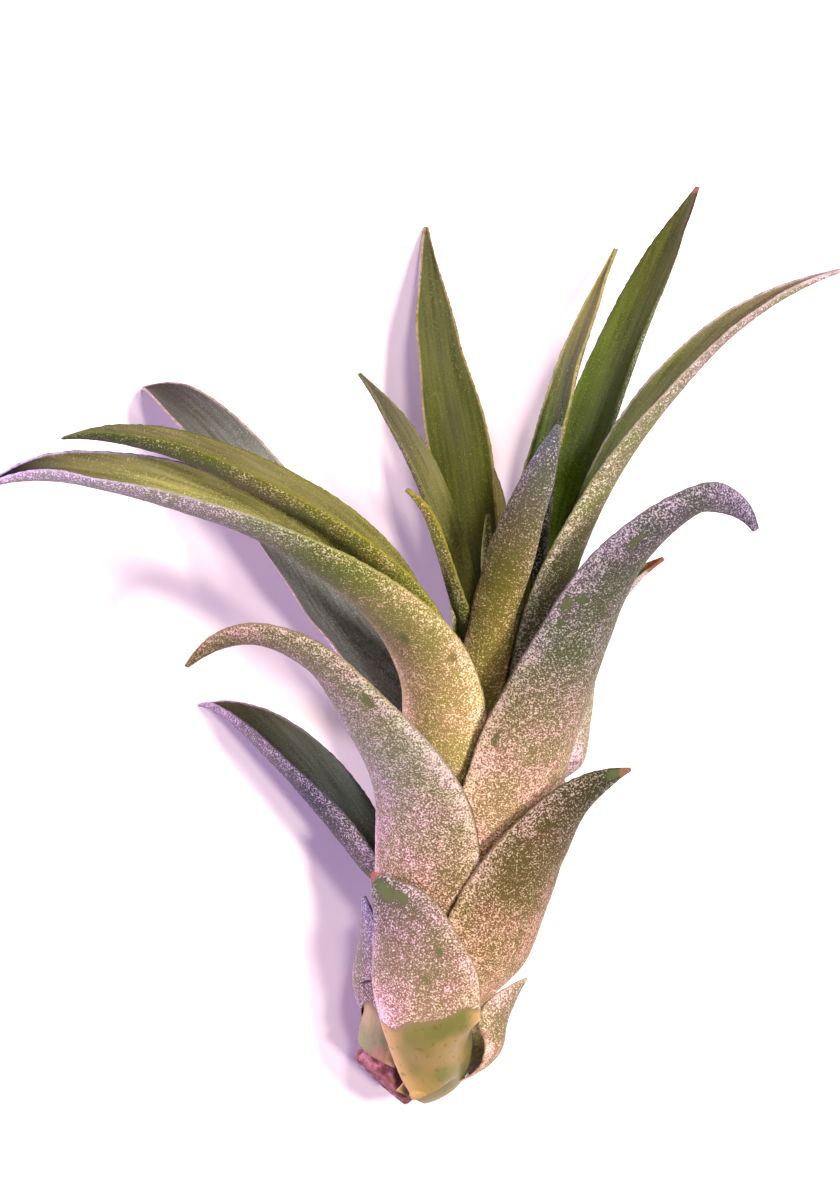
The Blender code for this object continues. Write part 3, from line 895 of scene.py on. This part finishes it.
def leaf_material(name, skin):
    material, tree, shader = new_material(name)
    where = node(tree, "ShaderNodeTexCoord").outputs["Object"]
    grain = noted(tree, "grain", "Vector")
    kinds = ("along", "outside", "from_margin", "worn", "dried", "bare", "stained")
    notes = {kind: noted(tree, kind) for kind in kinds}
    scales, clumps, patches = scurf_pattern(tree, where, scurf_cover(tree, skin, notes))
    streaks = veins(tree, grain)

    outer_base = ramp(tree, notes["along"], spread_stops(skin.outside))
    inner_base = ramp(tree, notes["along"], spread_stops(skin.inside))
    outer = outside_colour(tree, outer_base, notes, scales, patches)
    inner = inside_colour(tree, inner_base, grain, streaks, scales)
    colour = mixed(tree, notes["outside"], inner, outer)
    fuzz = remapped(tree, notes["from_margin"], FUZZ_WIDTH, 0.05)
    fuzz = maths(tree, "MULTIPLY", fuzz, remapped(tree, clumps, 0.35, 0.6, 0.3, 0.8))
    colour = mixed(tree, fuzz, colour, tinted(tree, outer_base, (1.45, 1.4, 1.5)))
    colour = aged(tree, colour, notes, clumps, patches)
    tree.links.new(colour, shader.inputs["Base Color"])

    rough = remapped(tree, notes["outside"], 0.0, 1.0, 0.55, 0.88)
    rough = maths(tree, "SUBTRACT", rough, maths(tree, "MULTIPLY", notes["bare"], 0.42))
    gloss = remapped(tree, notes["outside"], 0.0, 1.0, 0.16, 0.30)
    velvet = maths(tree, "MULTIPLY", notes["outside"], 0.06)
    tree.links.new(rough, shader.inputs["Roughness"])
    tree.links.new(gloss, shader.inputs["Specular IOR Level"])
    tree.links.new(velvet, shader.inputs["Sheen Weight"])
    shader.inputs["Sheen Roughness"].default_value = 0.45
    height = maths(tree, "ADD", scales, maths(tree, "MULTIPLY", streaks, 0.7))
    bump = node(tree, "ShaderNodeBump", {"Height": height, "Strength": 0.7, "Distance": RELIEF})
    tree.links.new(bump.outputs[0], shader.inputs["Normal"])
    return material


print("leaf skins to mix:", len(SKINS))

# %% [markdown]
# ## Growing all the leaves
#
# Each skin now stands in for its CAD solid: the solid stays behind for collisions and mass, and
# the skin is what shows.

# %% Make the leaves
for leaf in LEAVES:
    piece = build_leaf(leaf)
    piece.data.materials.append(leaf_material(leaf.name + "_finish", SKINS[leaf.name]))
    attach(piece, "root")
    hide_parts(leaf.name)
skins = [piece for piece in bpy.data.objects if piece.name.endswith("_skin")]
print("leaf faces:", sum(len(piece.data.polygons) for piece in skins))

# %% [markdown]
# ## The cut stem
#
# Only the foot of the stem shows. It is a dry stub, mauve-brown, cut across with a knife: the
# bark ring stands a little proud, the pith inside has shrunk and cracked.

# %% Build the stem
STEM_SIDES = 72
STEM_RING_STEP = 0.5
CUT_RINGS = 18
CUT_SLOPE = 0.27
CUT_LIP = -0.7
CUT_FADE = 5.0
RIM_ROUNDING = (0.90, 0.965, 0.99)
BARK_INSET = 0.15
LUMP_HEIGHT = 0.10
RIDGE_HEIGHT = 0.12
RIDGES = 17
RIDGE_TWIST = 0.4
BARK_ROUGHNESS = 0.08


def stem_skin():
    """The bark as rings from foot to top, the direction of its foot, and its random numbers."""
    random = seeded("stem")
    curve, lengths, knots = smooth_curve([stem_centre(height) for height in STEM_HEIGHTS])
    at = np.linspace(0, lengths[-1], int(lengths[-1] / STEM_RING_STEP) + 1)
    centres = np.stack([np.interp(at, lengths, curve[:, axis]) for axis in range(3)], axis=1)
    radii = smooth_values(knots, STEM_RADII, at)
    turns = np.linspace(0, 2 * math.pi, STEM_SIDES, endpoint=False)
    lumps = sum(
        random.uniform(0.2, 1) / k * np.cos(k * turns + random.uniform(0, 6.3)) for k in (2, 3, 5, 7, 9)
    )
    tangents = [unit(step) for step in np.gradient(centres, axis=0)]
    up = STEM_UP
    rings = []
    for i, (centre, radius, tangent) in enumerate(zip(centres, radii, tangents)):
        up = unit(up - (up @ tangent) * tangent)
        right = np.cross(tangent, up)
        bark = LUMP_HEIGHT * lumps + RIDGE_HEIGHT * np.cos(RIDGES * turns + RIDGE_TWIST * at[i])
        bark = bark + BARK_ROUGHNESS * random.normal(0, 1, STEM_SIDES)
        rounding = RIM_ROUNDING[i] if i < len(RIM_ROUNDING) else 1.0
        reach = (rounding * radius + bark * min(1, radius / 4) - BARK_INSET)[:, None]
        ring = centre + reach * (np.cos(turns)[:, None] * up + np.sin(turns)[:, None] * right)
        fade = max(0.0, 1 - at[i] / CUT_FADE)
        ring -= tangent * (fade * (CUT_LIP + CUT_SLOPE * radius * (1 - np.cos(turns))))[:, None]
        rings.append(ring)
    return np.array(rings), tangents[0], random


print("stem rings:", len(stem_skin()[0]))

# %% [markdown]
# ### The cut face
#
# Rings from the bark to the pith close the stub. The pith has sunk, a swollen ring stands
# between it and the bark, and a few cracks run inwards.

# %% Close the stub with its cut face
PITH_HOLLOW = 0.9
SWOLLEN_HEIGHT = 0.45
SWOLLEN_PLACE = 0.45
SWOLLEN_WIDTH = 0.25
CRACK_DEPTH = 0.35
CRACK_WIDTH = 0.03
SAWN_ROUGHNESS = 0.06


def stem_piece():
    """The stem's object, with its cut face closed from the bark to the pith."""
    rings, tangent, random = stem_skin()
    foot = rings[0]
    middle = foot.mean(axis=0)
    cut = []
    turns = np.linspace(0, 2 * math.pi, STEM_SIDES, endpoint=False)
    for step in range(1, CUT_RINGS):
        inward = 1 - step / CUT_RINGS
        ring = middle + (foot - middle) * inward
        swollen = SWOLLEN_HEIGHT * math.exp(-(((inward - SWOLLEN_PLACE) / SWOLLEN_WIDTH) ** 2))
        hollow = PITH_HOLLOW * (1 - inward) ** 0.5 - swollen
        from_crack = np.mod(turns * 3 + 0.7 * inward, 2.0) - 1.0
        crack = CRACK_DEPTH * np.exp(-(from_crack**2) / CRACK_WIDTH)
        rough = random.normal(0, SAWN_ROUGHNESS, STEM_SIDES)
        ring = ring + tangent * (hollow + crack * (1 - inward) + rough)[:, None]
        cut.append(ring)
    points = np.concatenate([np.array(cut)[::-1], rings])
    total, sides = points.shape[:2]
    faces = []
    for ring in range(total - 1):
        for side in range(sides):
            a = ring * sides + side
            b = ring * sides + (side + 1) % sides
            faces.append((a, b, b + sides, a + sides))
    flat = points.reshape(-1, 3)
    start, end = len(flat), len(flat) + 1
    flat = np.concatenate([flat, [points[0].mean(axis=0)], [points[-1].mean(axis=0)]])
    for side in range(sides):
        after = (side + 1) % sides
        faces.append((after, side, start))
        faces.append(((total - 1) * sides + side, (total - 1) * sides + after, end))
    mesh = bpy.data.meshes.new("cut_stem_skin")
    mesh.from_pydata(((flat - ORIGIN) * MM).tolist(), [], faces)
    mesh.shade_smooth()
    reach = np.clip((np.arange(total) + 1) / CUT_RINGS, 0, 1)
    reach = np.concatenate([np.repeat(reach, sides), [0.0, 1.0]])
    attribute = mesh.attributes.new("from_pith", "FLOAT", "POINT")
    attribute.data.foreach_set("value", reach.astype(np.float32))
    piece = bpy.data.objects.new("cut_stem_skin", mesh)
    bpy.context.scene.collection.objects.link(piece)
    return piece


stem = stem_piece()
print("stem faces:", len(stem.data.polygons))

# %% [markdown]
# ### The dry wood
#
# Dried sap and fibre give a dull mauve brown, with a dark groove inside the bark and a dark pith.

# %% Finish the stem
BARK_TONES = [(0.3, (70, 34, 36)), (0.5, (122, 70, 72)), (0.7, (172, 120, 118))]
WOOD_RELIEF = 0.0003


def stem_material():
    material, tree, shader = new_material("cut_stem_finish")
    where = node(tree, "ShaderNodeTexCoord").outputs["Object"]
    fibres = node(tree, "ShaderNodeTexNoise", {"Vector": where, "Scale": 700.0, "Detail": 5.0})
    blotches = node(tree, "ShaderNodeTexNoise", {"Vector": where, "Scale": 220.0, "Detail": 3.0})
    tone = ramp(tree, fibres.outputs[0], BARK_TONES)
    darker = remapped(tree, blotches.outputs[0], 0.45, 0.7, 0.0, 0.6)
    tone = mixed(tree, darker, tone, colour_of((110, 50, 40)))
    uneven = maths(tree, "MULTIPLY", blotches.outputs[0], 0.16)
    from_pith = maths(tree, "ADD", noted(tree, "from_pith"), uneven)
    ring = maths(
        tree, "MULTIPLY", remapped(tree, from_pith, 0.72, 0.84), remapped(tree, from_pith, 1.0, 0.9)
    )
    tone = mixed(tree, maths(tree, "MULTIPLY", ring, 0.85), tone, colour_of((52, 22, 24)))
    tone = mixed(tree, remapped(tree, from_pith, 0.3, 0.12, 0.0, 0.7), tone, colour_of((60, 28, 28)))
    tree.links.new(tone, shader.inputs["Base Color"])
    shader.inputs["Roughness"].default_value = 0.8
    relief = {"Height": fibres.outputs[0], "Strength": 0.7, "Distance": WOOD_RELIEF}
    bump = node(tree, "ShaderNodeBump", relief)
    tree.links.new(bump.outputs[0], shader.inputs["Normal"])
    return material


stem.data.materials.append(stem_material())
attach(stem, "root")
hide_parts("stem")
print("stem finish:", stem.data.materials[0].name)

# %% [markdown]
# ## The white table top
#
# The plant lies on a plain white board. A paper sheet or a curved studio sweep would also do,
# but one flat sheet with a faint cloudy tone keeps the shadows easy to read.

# %% Floor
def floor_material():
    material, tree, shader = new_material("table_finish")
    where = node(tree, "ShaderNodeTexCoord").outputs["Object"]
    cloud = node(tree, "ShaderNodeTexNoise", {"Vector": where, "Scale": 30.0, "Detail": 3.0})
    tone = mixed(tree, cloud.outputs[0], (0.86, 0.86, 0.86, 1.0), (0.90, 0.90, 0.90, 1.0))
    tree.links.new(tone, shader.inputs["Base Color"])
    shader.inputs["Roughness"].default_value = 0.7
    return material


FLOOR_HALF = 1.5
mesh = bpy.data.meshes.new("table_top")
corners = [(-1, -1), (1, -1), (1, 1), (-1, 1)]
mesh.from_pydata([(FLOOR_HALF * x, FLOOR_HALF * y, 0) for x, y in corners], [], [(0, 1, 2, 3)])
floor = bpy.data.objects.new("table_top", mesh)
bpy.context.scene.collection.objects.link(floor)
floor.data.materials.append(floor_material())

print("table is", 2 * FLOOR_HALF, "m wide")

# %% [markdown]
# ## Light
#
# Four small warm lamps stand to the right and nearly overhead. Each throws its own soft-edged
# shadow to the left, so the shadows fan out and overlap. One wide lilac light lies low on the
# left and tints those shadows and the left flanks of the leaves. A single sun would give one
# hard shadow, and an even sky none at all.

# %% Lights
LIGHTS = [
    # name, azimuth from +X towards +Y, elevation, distance, size, watts, colour
    ("lamp_right", 8, 62, 1.0, 0.13, 9.5, (1.0, 0.82, 0.73)),
    ("lamp_low_right", -22, 66, 1.0, 0.10, 5.5, (1.0, 0.82, 0.75)),
    ("lamp_high_right", 38, 60, 1.0, 0.12, 7.0, (1.0, 0.81, 0.73)),
    ("lamp_behind", 68, 66, 1.0, 0.12, 4.0, (1.0, 0.81, 0.75)),
    ("glow_left", 176, 10, 0.8, 0.30, 13.0, (0.82, 0.57, 1.0)),
]
for name, azimuth, elevation, distance, size, watts, colour in LIGHTS:
    lamp = bpy.data.lights.new(name, "AREA")
    lamp.shape = "DISK"
    lamp.size = size
    lamp.energy = watts
    lamp.color = colour
    holder = bpy.data.objects.new(name, lamp)
    a, e = math.radians(azimuth), math.radians(elevation)
    way = np.array([math.cos(a) * math.cos(e), math.sin(a) * math.cos(e), math.sin(e)])
    holder.location = way * distance
    holder.rotation_euler = Vector(-way).to_track_quat("-Z", "Y").to_euler()
    bpy.context.scene.collection.objects.link(holder)

ROOM_LILAC = (0.82, 0.50, 1.0, 1.0)
ROOM_STRENGTH = 0.13
world = bpy.data.worlds.new("room_glow")
world.use_nodes = True
glow = world.node_tree.nodes["Background"]
glow.inputs["Color"].default_value = ROOM_LILAC
glow.inputs["Strength"].default_value = ROOM_STRENGTH
bpy.context.scene.world = world
bpy.context.scene.view_settings.view_transform = "Standard"
print("lamps:", [light[0] for light in LIGHTS])

# %% [markdown]
# ## Camera
#
# The camera hangs straight over the plant and looks down. A long lens from 42 cm away keeps the
# perspective mild, so that the leaves that stand highest are only a little enlarged.

# %% Camera
CAMERA_HEIGHT = 0.41931
camera = bpy.data.objects.new("camera", bpy.data.cameras.new("camera"))
camera.location = (0.00102, 0.00712, CAMERA_HEIGHT)
camera.data.lens = 80.0
camera.data.sensor_width = 36.0
camera.data.clip_start = 0.01
bpy.context.scene.collection.objects.link(camera)
bpy.context.scene.camera = camera
print("camera is", 1000 * CAMERA_HEIGHT, "mm above the table")
